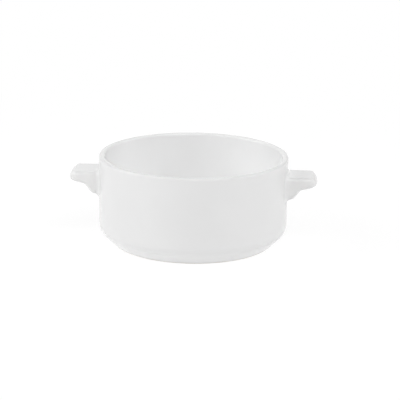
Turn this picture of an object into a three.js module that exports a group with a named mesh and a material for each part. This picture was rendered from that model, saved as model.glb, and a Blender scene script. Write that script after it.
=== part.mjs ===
// A soup bowl in white glazed porcelain with two solid lugs, in millimetres, +Z up.
// The origin is the centre of the foot, on the surface that the bowl stands on, and the lugs lie along X.
// The vessel is formed in one piece. Each lug is cast by itself and stuck to the wall on a bed of clay slip.

import * as THREE from "three";
import { mergeVertices } from "three/addons/utils/BufferGeometryUtils.js";

// Vessel
const BOWL_HEIGHT = 56;
const WALL_RADIUS = 60; // outside of the wall
const WALL_THICKNESS = 3.6;
const RIM_ROUND = 1.5; // radius of the rim's outer and inner edge, with a narrow flat between them
const FLOOR_THICKNESS = 4;
const FLOOR_ROUND = 12; // radius between the floor and the wall, inside
const CHAMFER_INSET = 8.8; // from the wall in to the foot
const CHAMFER_ANGLE = 45; // degrees up from the table
const SHOULDER_ROUND = 9; // radius between the wall and the chamfer
const FOOT_WIDTH = 5; // width of the ring that the bowl stands on
const FOOT_DEPTH = 1.6; // height of the hollow inside that ring
const FOOT_ROUND = 0.6; // radius of the ring's edges

// Lugs, measured from the wall outwards and from the rim down
const LUG_REACH = 18.5;
const LUG_WIDTH = 23.5;
const LUG_BELOW_RIM = 10.8; // rim to the lug's flat top
const LUG_TIP_THICKNESS = 6.4;
const LUG_TIP_SLOPE = 14; // degrees, the underside near the tip
const LUG_ROOT_DROP = 4.6; // how much deeper the root is than that slope would make it
const LUG_ROOT_REACH = 9.9; // where the underside starts to deepen
const LUG_ROOT_RUN = 6.2; // length over which it deepens
const LUG_NOSE_ROUND = 4.1; // radius from the top down to the tip
const LUG_LIP_RUN = 2.9; // length of the round from the underside up to the tip
const LUG_CORNER_ROUND = 4; // radius of the tip's two corners, seen from above
const LUG_EDGE_ROUND = 2.4; // radius of the long edges
const LUG_FLARE = 2.6; // radius with which the root spreads on to the wall

// Joints
const SLIP_THICKNESS = 0.6;
const CLEARANCE = 0.3; // between a piece and its neighbour

// Facets
const TURN_SEGMENTS = 64; // around the vessel
const ARC_STEP = 18; // degrees, the longest step round an arc of the vessel's profile
const RING_STEPS = 14; // across each half of a lug's section
const FLARE_STATIONS = 4;
const SHANK_STATIONS = 9;
const NOSE_STATIONS = 7;

const radians = THREE.MathUtils.degToRad;
const lugTopZ = BOWL_HEIGHT - LUG_BELOW_RIM;
const lugSeat = SLIP_THICKNESS + 2 * CLEARANCE; // from the wall to the lug's own root face

// A profile of straight runs whose corners are rounded: each corner is [radius from the axis, height, round].
function roundedProfile(corners) {
  const points = [];
  corners.forEach(([x, y, round], index) => {
    const corner = new THREE.Vector2(x, y);
    if (round === 0) {
      points.push(corner);
      return;
    }
    const back = new THREE.Vector2(...corners[index - 1]).sub(corner).normalize();
    const ahead = new THREE.Vector2(...corners[index + 1]).sub(corner).normalize();
    const halfAngle = Math.acos(back.dot(ahead)) / 2;
    const middle = back.clone().add(ahead).normalize().multiplyScalar(round / Math.sin(halfAngle)).add(corner);
    const start = back.multiplyScalar(round / Math.tan(halfAngle)).add(corner).sub(middle);
    const end = ahead.multiplyScalar(round / Math.tan(halfAngle)).add(corner).sub(middle);
    const sweep = Math.atan2(start.cross(end), start.dot(end));
    const steps = Math.ceil(Math.abs(sweep) / radians(ARC_STEP));
    for (let step = 0; step <= steps; step++) {
      const turned = start.clone().rotateAround(new THREE.Vector2(), (sweep * step) / steps);
      points.push(turned.add(middle));
    }
  });
  return points;
}

// The vessel's section runs from the underside's middle out over the foot, up the wall and back along the floor.
function vesselGeometry() {
  const footOuter = WALL_RADIUS - CHAMFER_INSET;
  const footInner = footOuter - FOOT_WIDTH;
  const chamferTop = CHAMFER_INSET * Math.tan(radians(CHAMFER_ANGLE));
  const inside = WALL_RADIUS - WALL_THICKNESS;
  const floorTop = FOOT_DEPTH + FLOOR_THICKNESS;
  const profile = roundedProfile([
    [0, FOOT_DEPTH, 0],
    [footInner - FOOT_DEPTH, FOOT_DEPTH, FOOT_ROUND],
    [footInner, 0, FOOT_ROUND],
    [footOuter, 0, FOOT_ROUND],
    [WALL_RADIUS, chamferTop, SHOULDER_ROUND],
    [WALL_RADIUS, BOWL_HEIGHT, RIM_ROUND],
    [inside, BOWL_HEIGHT, RIM_ROUND],
    [inside, floorTop, FLOOR_ROUND],
    [0, floorTop, 0],
  ]);
  return new THREE.LatheGeometry(profile, TURN_SEGMENTS).rotateX(Math.PI / 2);
}

// How far a quarter circle of the given radius has fallen at a distance from its end.
function roundFall(toEnd, radius) {
  const along = Math.max(radius - toEnd, 0);
  return radius - Math.sqrt(radius * radius - along * along);
}

// The lug's underside falls gently from the tip, then deepens in an ogee towards the wall, where the fingers go.
function undersideZ(out) {
  const fall = (LUG_REACH - LUG_LIP_RUN - out) * Math.tan(radians(LUG_TIP_SLOPE));
  const ogee = 1 - THREE.MathUtils.smoothstep(out, LUG_ROOT_REACH - LUG_ROOT_RUN, LUG_ROOT_REACH);
  return lugTopZ - LUG_TIP_THICKNESS - fall - LUG_ROOT_DROP * ogee;
}

// The lug's section at a distance out from the wall: its upper half from -Y to +Y, then its lower half back again.
// Every section is bent to the wall's curve, so the root face lies along the wall.
function lugSection(out) {
  const toTip = LUG_REACH - out;
  const flare = roundFall(out, LUG_FLARE);
  const lipShare = roundFall(toTip, LUG_LIP_RUN) / LUG_LIP_RUN;
  const top = lugTopZ - roundFall(toTip, LUG_NOSE_ROUND) + flare;
  const bottom = THREE.MathUtils.lerp(undersideZ(out), lugTopZ - LUG_NOSE_ROUND, lipShare) - flare;
  const half = LUG_WIDTH / 2 - roundFall(toTip, LUG_CORNER_ROUND) + flare;
  const round = Math.min(LUG_EDGE_ROUND + flare, (top - bottom) / 2);
  const upper = [];
  const lower = [];
  for (let step = 0; step <= RING_STEPS; step++) {
    const y = half * Math.sin(Math.PI * (step / RING_STEPS - 0.5));
    const x = Math.sqrt(WALL_RADIUS * WALL_RADIUS - y * y) + out;
    const edge = roundFall(half - Math.abs(y), round);
    upper.push(new THREE.Vector3(x, y, top - edge));
    lower.unshift(new THREE.Vector3(x, y, bottom + edge));
  }
  return [...upper, ...lower];
}

// A closed skin through a run of sections, with each end face laddered from the upper half to the lower half.
function skinGeometry(sections) {
  const count = sections[0].length;
  const last = (sections.length - 1) * count;
  const index = [];
  const quad = (a, b, c, d) => index.push(a, b, c, a, c, d);
  for (let start = 0; start < last; start += count) {
    for (let i = 0; i < count; i++) {
      const next = (i + 1) % count;
      quad(start + i, start + count + i, start + count + next, start + next);
    }
  }
  for (let i = 0; i + 1 < count / 2; i++) {
    const across = count - 1 - i;
    quad(i, i + 1, across - 1, across);
    quad(last + i, last + across, last + across - 1, last + i + 1);
  }
  const geometry = new THREE.BufferGeometry().setFromPoints(sections.flat());
  geometry.setIndex(index);
  return withoutSlivers(mergeVertices(geometry));
}

// Drops the triangles that have closed up to a line, as they do along the tip.
function withoutSlivers(geometry) {
  const index = [...geometry.index.array];
  const kept = [];
  for (let i = 0; i < index.length; i += 3) {
    const corners = index.slice(i, i + 3);
    if (new Set(corners).size === 3) {
      kept.push(...corners);
    }
  }
  geometry.setIndex(kept);
  geometry.computeVertexNormals();
  return geometry;
}

// Distances from one value to another in equal steps, without the last.
function spread(from, to, steps) {
  return Array.from({ length: steps }, (_, step) => THREE.MathUtils.lerp(from, to, step / steps));
}

// The lug, from its root face to the tip, where the sections close to a line.
function lugGeometry() {
  const noseStart = LUG_REACH - LUG_NOSE_ROUND;
  const nose = spread(0, Math.PI / 2, NOSE_STATIONS).map((turn) => noseStart + LUG_NOSE_ROUND * Math.sin(turn));
  const stations = [
    ...spread(lugSeat, LUG_FLARE, FLARE_STATIONS),
    ...spread(LUG_FLARE, noseStart, SHANK_STATIONS),
    ...nose,
    LUG_REACH,
  ];
  return skinGeometry(stations.map(lugSection));
}

// The bed of slip has the outline of the lug's spread root and lies between it and the wall.
function slipGeometry() {
  return skinGeometry([CLEARANCE, CLEARANCE + SLIP_THICKNESS].map(lugSection));
}

function piece(name, geometry, colour, roughness) {
  const material = new THREE.MeshStandardMaterial({ color: colour, roughness, metalness: 0 });
  const mesh = new THREE.Mesh(geometry, material);
  mesh.name = name;
  return mesh;
}

const GLAZE = [0xebebea, 0.15];
const GLAZED_SLIP = [0xe6e6e3, 0.2];

const bowl = new THREE.Group();
bowl.add(piece("bowl_body", vesselGeometry(), ...GLAZE));
for (const [side, turn] of [["right", 0], ["left", Math.PI]]) {
  const handle = new THREE.Group();
  handle.rotation.z = turn;
  handle.add(piece(`${side}_lug`, lugGeometry(), ...GLAZE));
  handle.add(piece(`${side}_slip_joint`, slipGeometry(), ...GLAZED_SLIP));
  bowl.add(handle);
}

export default bowl;
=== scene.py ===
import math

import bpy
from mathutils import Matrix, Vector, noise


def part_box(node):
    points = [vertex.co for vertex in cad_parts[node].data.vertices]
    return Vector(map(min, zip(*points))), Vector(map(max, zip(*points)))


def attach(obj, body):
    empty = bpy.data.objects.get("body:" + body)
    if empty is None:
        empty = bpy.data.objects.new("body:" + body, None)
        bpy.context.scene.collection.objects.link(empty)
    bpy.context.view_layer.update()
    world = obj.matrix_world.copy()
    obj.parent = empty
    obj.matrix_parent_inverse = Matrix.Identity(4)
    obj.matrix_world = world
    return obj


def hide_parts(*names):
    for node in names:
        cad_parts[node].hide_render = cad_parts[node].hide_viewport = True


# A white glazed porcelain soup bowl with two solid lugs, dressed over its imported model.
# Metres, +Z up, the lugs along X. The photograph is taken from -Y, a little to the right.
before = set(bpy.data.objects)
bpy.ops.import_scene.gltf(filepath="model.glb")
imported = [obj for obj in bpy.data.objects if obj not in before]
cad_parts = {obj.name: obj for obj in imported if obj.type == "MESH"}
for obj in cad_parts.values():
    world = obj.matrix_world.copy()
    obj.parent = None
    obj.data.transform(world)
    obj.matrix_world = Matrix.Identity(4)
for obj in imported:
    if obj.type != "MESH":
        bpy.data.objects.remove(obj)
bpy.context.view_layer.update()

MM = 0.001
BODY = "root"
SIDES = {"right": 0.0, "left": math.pi}  # how far each lug is turned about the bowl's axis

# Vessel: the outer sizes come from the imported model, and the rest are the drawing's
vessel_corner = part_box("bowl_body")[1]
WALL_RADIUS = vessel_corner.x
BOWL_HEIGHT = vessel_corner.z
WALL_THICKNESS = 3.6 * MM
RIM_ROUND = 1.5 * MM
FLOOR_THICKNESS = 4.0 * MM
FLOOR_ROUND = 12.0 * MM  # between the floor and the wall, inside
CHAMFER_INSET = 8.8 * MM  # from the wall in to the foot
CHAMFER_ANGLE = math.radians(45)
SHOULDER_ROUND = 9.0 * MM  # between the wall and the chamfer
FOOT_WIDTH = 5.0 * MM
FOOT_DEPTH = 1.6 * MM  # of the hollow inside the foot ring
FOOT_ROUND = 0.6 * MM

# Lugs, measured from the wall outwards and from the rim down
LUG_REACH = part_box("right_lug")[1].x - WALL_RADIUS
LUG_WIDTH = 23.5 * MM
LUG_BELOW_RIM = 10.8 * MM
LUG_TOP = BOWL_HEIGHT - LUG_BELOW_RIM
LUG_TIP_THICKNESS = 6.4 * MM
LUG_TIP_SLOPE = math.radians(14)  # of the underside, near the tip
LUG_ROOT_DROP = 4.6 * MM  # how much deeper the root is than that slope would make it
LUG_ROOT_REACH = 9.9 * MM  # where the underside starts to deepen
LUG_ROOT_RUN = 6.2 * MM  # length over which it deepens
LUG_NOSE_ROUND = 4.1 * MM  # from the top down to the tip
LUG_LIP_RUN = 2.9 * MM  # length of the round from the underside up to the tip
LUG_CORNER_ROUND = 4.0 * MM  # of the tip's two corners, seen from above
LUG_EDGE_ROUND = 2.4 * MM  # of the long edges
LUG_FLARE = 2.6 * MM  # with which the root spreads on to the wall
LUG_SEAT = 1.2 * MM  # from the wall to the lug's own root face, filled by the slip joint
SLIP_BITE = 0.25 * MM  # how far the slip joint sinks into the wall

# Meshing
TURN_SEGMENTS = 256
ARC_STEP = math.radians(6)
RUN_STEP = 1.5 * MM
RING_STEPS = 64
SLIP_STATIONS = 18
FLARE_STATIONS = 10
SHANK_STATIONS = 40
NOSE_STATIONS = 24
MERGE = 0.001 * MM  # points closer than this are one
SHARP_ANGLE = math.radians(30)  # faces that meet at more than this show a crease
MAP_NAME = "OFBake"  # the name of the vessel's unrolled map; the export bakes through a map of this name

# Signs of making
UNEVENNESS = 0.05 * MM  # how far the vessel wanders inwards
UNEVENNESS_SCALE = 30 * MM
FOOT_BARE = 0.3 * MM  # the glaze is wiped off the foot up to here
FOOT_GLAZED = 0.6 * MM  # and is whole from here up
POOL_BLUR = 1.2 * MM  # how far the glaze in a hollow spreads out of it
LUG_POOL = LUG_FLARE / 2  # where a lug's root has spread this far, the glaze is deepest
LUG_PAINTED_LIGHT = 0.3  # share of the inside's painted light in a lug's glaze, from 0 as the wall's outside to 1 as its inside
GLAZE_LAYERS = ("inside_painted_light", "edge_painted_shade", "deep", "bare")  # shares from 0 to 1 that each point carries

# Glaze and bare clay: linear colours, depths of bump, and noises as (grains per metre, finer layers)
GLAZE_OUTSIDE = (0.838, 0.838, 0.838)
# painted light: the inside's glaze is whiter than the outside's, which lifts the shade in the bowl's hollow
GLAZE_INSIDE_PAINTED_LIGHT = (0.945, 0.945, 0.945)
GLAZE_IOR = 1.45
GLAZE_ROUGHNESS = (0.16, 0.24)
EDGE_PAINTED_SHADE_TINT = (0.965, 0.963, 0.960)  # painted shade, slightly warm, over the rim and the lugs' long edges and nose, which the lights make bright
DEEP_TINT = (0.963, 0.966, 0.967)  # where it pools in a hollow
CLOUD_TINT = (0.985, 0.985, 0.985)  # where it lies a little thinner than elsewhere
CLOUD_NOISE = (40.0, 3.0)
PEEL_NOISE = (260.0, 1.0)
PEEL_DEPTH = 0.003 * MM
CLAY_DARK = (0.68, 0.66, 0.62)
CLAY_LIGHT = (0.82, 0.80, 0.76)
CLAY_ROUGHNESS = 0.75
GRAIN_NOISE = (1800.0, 4.0)
GRAIN_DEPTH = 0.12 * MM
WIPE_NOISE = (220.0, 2.0)
WIPE_RAGGED = (-0.25, 0.25)  # what that noise adds to the bare share
WIPE_EDGE = (0.42, 0.58)  # the bare shares between whole glaze and bare clay
NOISE_SPAN = (0.3, 0.7)  # where most of a noise's values lie

# Camera, fitted to the bowl's outline in the photograph
CAMERA_AZIMUTH = math.radians(3.8)
CAMERA_ELEVATION = math.radians(16.03)
CAMERA_ROLL = math.radians(0.8)  # the bowl leans a little to the right
CAMERA_DISTANCE = 1.0
CAMERA_LENS = 141.03  # this and the sensor's width are in millimetres
CAMERA_SENSOR = 36.0
CAMERA_AIM = Vector((0, 0, 28.13 * MM))
CAMERA_RIGHT = 4.335 * MM
CAMERA_UP = -2.14 * MM

# Light: each level is the share of white that it gives to a white surface facing it
WHITE_LEVEL = 1.0
WHITE_RAYS = ("Is Camera Ray", "Is Glossy Ray", "Is Transmission Ray")  # these see a white background
SKY_LEVEL = 0.19
FLOOR_SIZE = 6.0
FLOOR_BOUNCE = 0.85
FLOOR_GLOW = 0.20  # the floor is a lit table, so it fills the bevel under the bowl
BASE_GLOW = 0.36  # the table's glow at the bowl's foot
BASE_FADE = (50 * MM, 57 * MM)  # distances from the bowl's axis over which it falls to the floor's
FLOOR_WHITE = 0.8  # share of plain white that the eye sees near the bowl
FLOOR_FADE = (160 * MM, 450 * MM)  # distances over which the floor fades to plain white
SOFTBOXES = {
    # name: (degrees round from the camera's right, degrees up, distance, width, level)
    "left_softbox": (180, 30, 1.4, 0.9, 0.335),
    "front_left_softbox": (215, 30, 1.4, 0.9, 0.18),
    "front_right_softbox": (290, 50, 1.4, 1.0, 0.41),
    "right_softbox": (0, 30, 1.4, 0.9, 0.27),
    "back_fill": (90, 16, 1.4, 1.2, 0.34),
}
FILL_ONLY = ("back_fill",)  # its reflection would whiten the lugs' flat tops


def unit(vector):
    """The vector, made 1 long."""
    return vector / vector.length


def turned(x, y, angle):
    """A point turned about the origin."""
    return x * math.cos(angle) - y * math.sin(angle), x * math.sin(angle) + y * math.cos(angle)


def spread(start, end, steps):
    """Values from start to just short of end, in equal steps."""
    return [start + (end - start) * step / steps for step in range(steps)]


def share_between(value, low, high):
    """How far a value lies on the way from low to high, from 0 to 1."""
    return max(0.0, min(1.0, (value - low) / (high - low)))


def smoothstep(value, low, high):
    """The same, with a soft start and end."""
    share = share_between(value, low, high)
    return share * share * (3 - 2 * share)


def round_fall(to_end, radius):
    """How far a quarter circle of the given radius has fallen at a distance from its end."""
    along = min(max(radius - to_end, 0), radius)
    return radius - math.sqrt(radius * radius - along * along)


def mesh_object(name, points, faces, glaze=()):
    """A smooth mesh, whose points carry the glaze layers where these are given.

    A corner that a face holds twice is dropped, and so is a face that has closed up to a line.
    """
    single = [list(dict.fromkeys(face)) for face in faces]
    mesh = bpy.data.meshes.new(name)
    mesh.from_pydata(points, [], [face for face in single if len(face) > 2])
    for layer, shares in zip(GLAZE_LAYERS, zip(*glaze)):
        mesh.attributes.new(layer, "FLOAT", "POINT").data.foreach_set("value", shares)
    mesh.validate()
    mesh.update()
    mesh.shade_smooth()
    mesh.set_sharp_from_angle(angle=SHARP_ANGLE)
    made = bpy.data.objects.new(name, mesh)
    bpy.context.scene.collection.objects.link(made)
    return made


def rounded_profile(corners):
    """Points along straight runs with rounded corners, each with the bend there (+ outwards, - inwards)."""
    points = []
    for index, (radius, height, rounding) in enumerate(corners):
        corner = Vector((radius, height))
        if rounding == 0:
            points.append((corner, 0.0))
            continue
        back = unit(Vector(corners[index - 1][:2]) - corner)
        ahead = unit(Vector(corners[index + 1][:2]) - corner)
        half_angle = math.acos(back.dot(ahead)) / 2
        middle = corner + unit(back + ahead) * rounding / math.sin(half_angle)
        start = corner + back * rounding / math.tan(half_angle) - middle
        end = corner + ahead * rounding / math.tan(half_angle) - middle
        sweep = math.atan2(start.cross(end), start.dot(end))
        bend = math.copysign(1 / rounding, sweep)
        steps = math.ceil(abs(sweep) / ARC_STEP)
        for step in range(steps + 1):
            place = middle + Vector(turned(start.x, start.y, sweep * step / steps))
            points.append((place, bend))
    return points


def subdivided(points):
    """The same profile with its straight runs cut into short steps."""
    finer = [points[0]]
    for (start, _), (end, bend) in zip(points, points[1:]):
        steps = max(1, math.ceil((end - start).length / RUN_STEP))
        for step in range(1, steps):
            finer.append((start.lerp(end, step / steps), 0.0))
        finer.append((end, bend))
    return finer


def vessel_corners():
    """The vessel's section, from the underside's middle over foot, wall and rim and back along the floor.

    Each corner has its distance from the axis, its height and its rounding.
    """
    foot_outer = WALL_RADIUS - CHAMFER_INSET
    foot_inner = foot_outer - FOOT_WIDTH
    inside = WALL_RADIUS - WALL_THICKNESS
    floor_top = FOOT_DEPTH + FLOOR_THICKNESS
    return [
        (0, FOOT_DEPTH, 0),
        (foot_inner - FOOT_DEPTH, FOOT_DEPTH, FOOT_ROUND),
        (foot_inner, 0, FOOT_ROUND),
        (foot_outer, 0, FOOT_ROUND),
        (WALL_RADIUS, CHAMFER_INSET * math.tan(CHAMFER_ANGLE), SHOULDER_ROUND),
        (WALL_RADIUS, BOWL_HEIGHT, RIM_ROUND),
        (inside, BOWL_HEIGHT, RIM_ROUND),
        (inside, floor_top, FLOOR_ROUND),
        (0, floor_top, 0),
    ]


def bend_near(points, along, here):
    """The profile's bend, blurred, at a distance along it."""
    weights = [math.exp(-((here - there) / POOL_BLUR) ** 2) for there in along]
    return sum(weight * bend for weight, (_, bend) in zip(weights, points)) / sum(weights)


def vessel_profile():
    """The points of the vessel's section, each with its glaze layers and its share of the way along."""
    points = subdivided(rounded_profile(vessel_corners()))
    along = [0.0]
    for (start, _), (end, _) in zip(points, points[1:]):
        along.append(along[-1] + (end - start).length)
    rim_low = BOWL_HEIGHT - RIM_ROUND
    past_rim = False
    profile = []
    for (place, _), here in zip(points, along):
        # painted light: the share of the inside's whiter glaze
        inside_painted_light = smoothstep(WALL_RADIUS - place.x, 0, WALL_THICKNESS) if past_rim else 0.0
        # painted shade over the rim's round
        edge_painted_shade = smoothstep(place.y, rim_low, BOWL_HEIGHT)
        deep = share_between(-bend_near(points, along, here), 0, 1 / FLOOR_ROUND)
        bare = 1 - share_between(place.y, FOOT_BARE, FOOT_GLAZED)
        profile.append((place, (inside_painted_light, edge_painted_shade, deep, bare), here / along[-1]))
        past_rim = past_rim or place.y > rim_low
    return profile


def vessel():
    """The turned vessel, very slightly out of round, as a hand-finished pot is.

    Its map is unrolled, round the axis across and along the section upwards, and fills the square.
    """
    points = []
    glaze = []
    rings = []
    for (radius, height), layers, share in vessel_profile():
        count = TURN_SEGMENTS if radius > 0 else 1
        rings.append((range(len(points), len(points) + count), share))
        for step in range(count):
            angle = math.tau * step / TURN_SEGMENTS
            place = Vector((radius * math.cos(angle), radius * math.sin(angle), height))
            wander = 0.5 + 0.5 * noise.noise(place / UNEVENNESS_SCALE)  # from 0 to 1
            shrink = 1 - UNEVENNESS * wander / WALL_RADIUS
            points.append((place.x * shrink, place.y * shrink, height))
        glaze += [layers] * count
    faces = []
    places = []
    for (lower, low), (upper, high) in zip(rings, rings[1:]):
        for step in range(TURN_SEGMENTS):
            ahead = (step + 1) % TURN_SEGMENTS
            corners = [lower[step % len(lower)], lower[ahead % len(lower)]]
            corners += [upper[ahead % len(upper)], upper[step % len(upper)]]
            faces.append(corners)
            for ring, share, steps in ((lower, low, (step, step + 1)), (upper, high, (step + 1, step))):
                across = steps if len(ring) > 1 else [step + 0.5]
                places += [(place / TURN_SEGMENTS, share) for place in across]
    made = mesh_object("bowl_body_glazed", points, faces, glaze)
    unrolled = made.data.uv_layers.new(name=MAP_NAME)
    unrolled.uv.foreach_set("vector", [value for place in places for value in place])
    return made


def underside(out):
    """The lug's underside falls gently from the tip, then deepens in an ogee towards the wall."""
    fall = (LUG_REACH - LUG_LIP_RUN - out) * math.tan(LUG_TIP_SLOPE)
    ogee = 1 - smoothstep(out, LUG_ROOT_REACH - LUG_ROOT_RUN, LUG_ROOT_REACH)
    return LUG_TOP - LUG_TIP_THICKNESS - fall - LUG_ROOT_DROP * ogee


def lug_section(out):
    """The lug's section at a distance from the wall, bent to its curve: points with their glaze layers."""
    to_tip = LUG_REACH - out
    flare = round_fall(out, LUG_FLARE)
    lip_share = round_fall(to_tip, LUG_LIP_RUN) / LUG_LIP_RUN
    top = LUG_TOP - round_fall(to_tip, LUG_NOSE_ROUND) + flare
    low = underside(out)
    bottom = low + (LUG_TOP - LUG_NOSE_ROUND - low) * lip_share - flare
    half = LUG_WIDTH / 2 - round_fall(to_tip, LUG_CORNER_ROUND) + flare
    rounding = min(LUG_EDGE_ROUND + flare, (top - bottom) / 2)
    deep = share_between(flare, 0, LUG_POOL)
    nose = 1 - share_between(to_tip, 0, LUG_NOSE_ROUND)
    upper = []
    lower = []
    for step in range(RING_STEPS + 1):
        y = half * math.sin(math.pi * (step / RING_STEPS - 0.5))
        x = math.sqrt(WALL_RADIUS ** 2 - y * y) + out
        to_side = half - abs(y)
        drop = round_fall(to_side, rounding)
        edge = 1 - share_between(to_side, 0, LUG_EDGE_ROUND)
        # the lug takes part of the inside's painted light, and painted shade over its long edges and nose
        layers = (LUG_PAINTED_LIGHT, max(edge, nose) * (1 - deep), deep, 0.0)
        upper.append(((x, y, top - drop), layers))
        lower.append(((x, y, bottom + drop), layers))
    return upper + lower[::-1]


def skin(name, sections, turn):
    """A closed skin through a run of sections, turned about the axis to its side of the bowl."""
    points = []
    glaze = []
    seen = {}
    rings = []
    for section in sections:
        ring = []
        for (x, y, z), layers in section:
            place = (*turned(x, y, turn), z)
            key = tuple(round(value / MERGE) for value in place)
            if key not in seen:
                seen[key] = len(points)
                points.append(place)
                glaze.append(layers)
            ring.append(seen[key])
        rings.append(ring)
    first = rings[0]
    last = rings[-1]
    count = len(first)
    faces = []
    for near, far in zip(rings, rings[1:]):
        for step in range(count):
            ahead = (step + 1) % count
            faces.append([near[step], far[step], far[ahead], near[ahead]])
    for step in range(count // 2 - 1):
        across = count - 1 - step
        faces.append([first[step], first[step + 1], first[across - 1], first[across]])
        faces.append([last[step], last[across], last[across - 1], last[step + 1]])
    return mesh_object(name, points, faces, glaze)


def lug(side, turn):
    """The solid lug, from its root face to the tip, which ends in a face a fraction of a millimetre high."""
    nose_start = LUG_REACH - LUG_NOSE_ROUND
    nose_angles = spread(0, math.pi / 2, NOSE_STATIONS)
    stations = spread(LUG_SEAT, LUG_FLARE, FLARE_STATIONS)
    stations += spread(LUG_FLARE, nose_start, SHANK_STATIONS)
    stations += [nose_start + LUG_NOSE_ROUND * math.sin(angle) for angle in nose_angles]
    return skin(f"{side}_lug_glazed", [lug_section(out) for out in stations], turn)


def slip_joint(side, turn):
    """The slip joint, which fills the root's fillet from just inside the wall out to the lug."""
    seat_angle = math.acos(1 - LUG_SEAT / LUG_FLARE)
    stations = [-SLIP_BITE]
    stations += [LUG_FLARE * (1 - math.cos(angle)) for angle in spread(0, seat_angle, SLIP_STATIONS)]
    stations.append(LUG_SEAT)
    return skin(f"{side}_slip_joint_glazed", [lug_section(out) for out in stations], turn)


def feed(tree, socket, value):
    """Gives a socket a number, a colour or another node's output."""
    if isinstance(value, bpy.types.NodeSocket):
        tree.links.new(value, socket)
    elif isinstance(value, tuple):
        socket.default_value = (*value, 1)
    else:
        socket.default_value = value


def node(tree, kind, inputs=(), **settings):
    """A shader node with its settings, and with what its sockets take, by their name or number."""
    made = tree.nodes.new(kind)
    for name, value in settings.items():
        setattr(made, name, value)
    for socket, value in dict(inputs).items():
        feed(tree, made.inputs[socket], value)
    return made


def mixed_number(tree, share, low, high):
    """A number that goes from low to high with a share from 0 to 1; low and high are numbers or sockets."""
    return node(tree, "ShaderNodeMix", {"Factor": share, "A": low, "B": high}).outputs["Result"]


def mixed_colour(tree, share, low, high, blend="MIX"):
    """A colour that goes from low to high with a share from 0 to 1; low and high are colours or sockets."""
    mix = node(tree, "ShaderNodeMix", {"Factor": share}, data_type="RGBA", blend_type=blend)
    sockets = {socket.identifier: socket for socket in (*mix.inputs, *mix.outputs)}
    feed(tree, sockets["A_Color"], low)
    feed(tree, sockets["B_Color"], high)
    return sockets["Result_Color"]


def ranged(tree, value, span, result=(0.0, 1.0)):
    """A value moved smoothly from one span to another."""
    inputs = {
        "Value": value,
        "From Min": span[0],
        "From Max": span[1],
        "To Min": result[0],
        "To Max": result[1],
    }
    return node(tree, "ShaderNodeMapRange", inputs, interpolation_type="SMOOTHSTEP").outputs["Result"]


def noise_value(tree, place, grain):
    """Noise over the object; grain is how many grains a metre has, and the layers of finer grain."""
    scale, detail = grain
    made = node(tree, "ShaderNodeTexNoise", {"Vector": place, "Scale": scale, "Detail": detail})
    return made.outputs["Fac"]


def layer_share(tree, name):
    """One of the glaze layers that a piece's points carry."""
    return node(tree, "ShaderNodeAttribute", attribute_name=name).outputs["Fac"]


def wiped_share(tree, place):
    """1 on the bare foot and 0 on the glaze, with the ragged edge that a sponge leaves."""
    ragged = ranged(tree, noise_value(tree, place, WIPE_NOISE), NOISE_SPAN, WIPE_RAGGED)
    total = node(tree, "ShaderNodeMath", {0: layer_share(tree, "bare"), 1: ragged}, operation="ADD")
    return ranged(tree, total.outputs["Value"], WIPE_EDGE)


def glaze_material():
    """White glaze with painted light, whiter inside the bowl and a little on the lugs, and painted shade,
    slightly warm, over the rim and the lugs' edges; deep and cooler in hollows, wiped off the foot ring.
    """
    material = bpy.data.materials.new("white_glaze")
    material.use_nodes = True
    tree = material.node_tree
    place = node(tree, "ShaderNodeTexCoord").outputs["Object"]
    cloud = noise_value(tree, place, CLOUD_NOISE)
    peel = noise_value(tree, place, PEEL_NOISE)
    grain = noise_value(tree, place, GRAIN_NOISE)
    bare = wiped_share(tree, place)

    # painted light: whiter inside the bowl and a little on the lugs
    glaze = mixed_colour(tree, layer_share(tree, "inside_painted_light"), GLAZE_OUTSIDE, GLAZE_INSIDE_PAINTED_LIGHT)
    # painted shade over the rim and the lugs' edges and nose
    glaze = mixed_colour(tree, layer_share(tree, "edge_painted_shade"), glaze, EDGE_PAINTED_SHADE_TINT, "MULTIPLY")
    glaze = mixed_colour(tree, layer_share(tree, "deep"), glaze, DEEP_TINT, "MULTIPLY")
    glaze = mixed_colour(tree, ranged(tree, cloud, NOISE_SPAN), glaze, CLOUD_TINT, "MULTIPLY")
    clay = mixed_colour(tree, grain, CLAY_DARK, CLAY_LIGHT)
    gloss = ranged(tree, cloud, NOISE_SPAN, GLAZE_ROUGHNESS)
    height = mixed_number(tree, bare, peel, grain)
    depth = mixed_number(tree, bare, PEEL_DEPTH, GRAIN_DEPTH)
    bump = node(tree, "ShaderNodeBump", {"Height": height, "Distance": depth, "Strength": 1.0})

    shader = tree.nodes["Principled BSDF"].inputs
    feed(tree, shader["IOR"], GLAZE_IOR)
    feed(tree, shader["Base Color"], mixed_colour(tree, bare, glaze, clay))
    feed(tree, shader["Roughness"], mixed_number(tree, bare, gloss, CLAY_ROUGHNESS))
    feed(tree, shader["Normal"], bump.outputs["Normal"])
    return material


def white_rays(tree):
    """1 for the rays that should see the background as white, 0 for the rays that carry its light."""
    path = node(tree, "ShaderNodeLightPath")
    seen = path.outputs[WHITE_RAYS[0]]
    for name in WHITE_RAYS[1:]:
        either = node(tree, "ShaderNodeMath", {0: seen, 1: path.outputs[name]}, operation="MAXIMUM")
        seen = either.outputs["Value"]
    return seen


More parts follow.
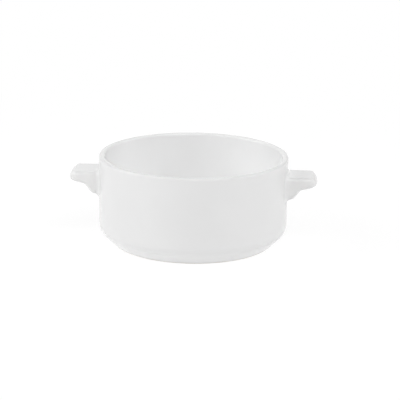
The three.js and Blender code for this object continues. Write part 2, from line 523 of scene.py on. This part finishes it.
def floor_material():
    """A lit table with the bowl's shadow, which the eye sees mixed with plain white, more so further out."""
    material = bpy.data.materials.new("pale_floor")
    material.use_nodes = True
    tree = material.node_tree
    tree.nodes.remove(tree.nodes["Principled BSDF"])
    seen = white_rays(tree)
    place = node(tree, "ShaderNodeTexCoord").outputs["Object"]
    away = node(tree, "ShaderNodeVectorMath", {0: place}, operation="LENGTH").outputs["Value"]

    shade = mixed_number(tree, seen, FLOOR_BOUNCE, WHITE_LEVEL)
    matte = node(tree, "ShaderNodeBsdfDiffuse", {"Color": shade}).outputs["BSDF"]
    strength = ranged(tree, away, BASE_FADE, (BASE_GLOW, FLOOR_GLOW))
    glow = node(tree, "ShaderNodeEmission", {"Strength": strength}).outputs["Emission"]
    table = node(tree, "ShaderNodeAddShader", {0: matte, 1: glow}).outputs["Shader"]

    white = node(tree, "ShaderNodeEmission", {"Strength": WHITE_LEVEL}).outputs["Emission"]
    fade = ranged(tree, away, FLOOR_FADE, (FLOOR_WHITE, 1.0))
    share = node(tree, "ShaderNodeMath", {0: fade, 1: seen}, operation="MULTIPLY").outputs["Value"]
    surface = node(tree, "ShaderNodeMixShader", {"Fac": share, 1: table, 2: white}).outputs["Shader"]
    feed(tree, tree.nodes["Material Output"].inputs["Surface"], surface)
    return material


def studio_floor():
    """The large table that the bowl stands on."""
    half = FLOOR_SIZE / 2
    corners = [(-half, -half, 0), (half, -half, 0), (half, half, 0), (-half, half, 0)]
    floor = mesh_object("studio_floor", corners, [[0, 1, 2, 3]])
    floor.data.materials.append(floor_material())


def studio_sky():
    """An even white surround."""
    world = bpy.data.worlds.new("studio_sky")
    bpy.context.scene.world = world
    world.use_nodes = True
    tree = world.node_tree
    background = tree.nodes["Background"].inputs
    feed(tree, background["Color"], (1, 1, 1))
    feed(tree, background["Strength"], mixed_number(tree, white_rays(tree), SKY_LEVEL, WHITE_LEVEL))


def direction(turn, rise):
    """The unit vector at an angle round from +X and an angle up from the table."""
    return Vector((math.cos(turn) * math.cos(rise), math.sin(turn) * math.cos(rise), math.sin(rise)))


def camera_axes():
    """The camera's back, right and up directions."""
    back = direction(CAMERA_AZIMUTH - math.pi / 2, CAMERA_ELEVATION)
    level = direction(CAMERA_AZIMUTH, 0)
    rise = back.cross(level)
    right = level * math.cos(CAMERA_ROLL) + rise * math.sin(CAMERA_ROLL)
    return back, right, back.cross(right)


def photo_camera():
    """The photograph's camera."""
    back, right, up = camera_axes()
    data = bpy.data.cameras.new("photo_camera")
    data.lens = CAMERA_LENS
    data.sensor_width = CAMERA_SENSOR
    camera = bpy.data.objects.new("photo_camera", data)
    camera.location = CAMERA_AIM + back * CAMERA_DISTANCE + right * CAMERA_RIGHT + up * CAMERA_UP
    camera.rotation_euler = Matrix((right, up, back)).transposed().to_euler()
    bpy.context.scene.collection.objects.link(camera)
    bpy.context.scene.camera = camera


def softboxes():
    """Square area lights around the bowl, all facing it, each with the power that gives its level."""
    for name, (around, up, distance, width, level) in SOFTBOXES.items():
        towards = direction(math.radians(around) + CAMERA_AZIMUTH, math.radians(up))
        data = bpy.data.lights.new(name, "AREA")
        data.size = width
        data.energy = level * math.pi ** 2 * distance ** 2
        light = bpy.data.objects.new(name, data)
        light.location = CAMERA_AIM + towards * distance
        light.rotation_euler = towards.to_track_quat("Z", "Y").to_euler()
        light.visible_glossy = name not in FILL_ONLY
        bpy.context.scene.collection.objects.link(light)


def dress():
    """All pieces of the bowl, each in place of the solid that it shows."""
    glaze = glaze_material()
    made = [(vessel(), "bowl_body", "glazed_porcelain")]
    for side, turn in SIDES.items():
        made.append((lug(side, turn), f"{side}_lug", "glazed_porcelain"))
        made.append((slip_joint(side, turn), f"{side}_slip_joint", "glazed_slip"))
    for piece, solid, slot in made:
        piece.data.materials.append(glaze)
        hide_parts(solid)
        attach(piece, BODY)


bpy.context.scene.view_settings.view_transform = "Standard"
photo_camera()
dress()
studio_floor()
studio_sky()
softboxes()
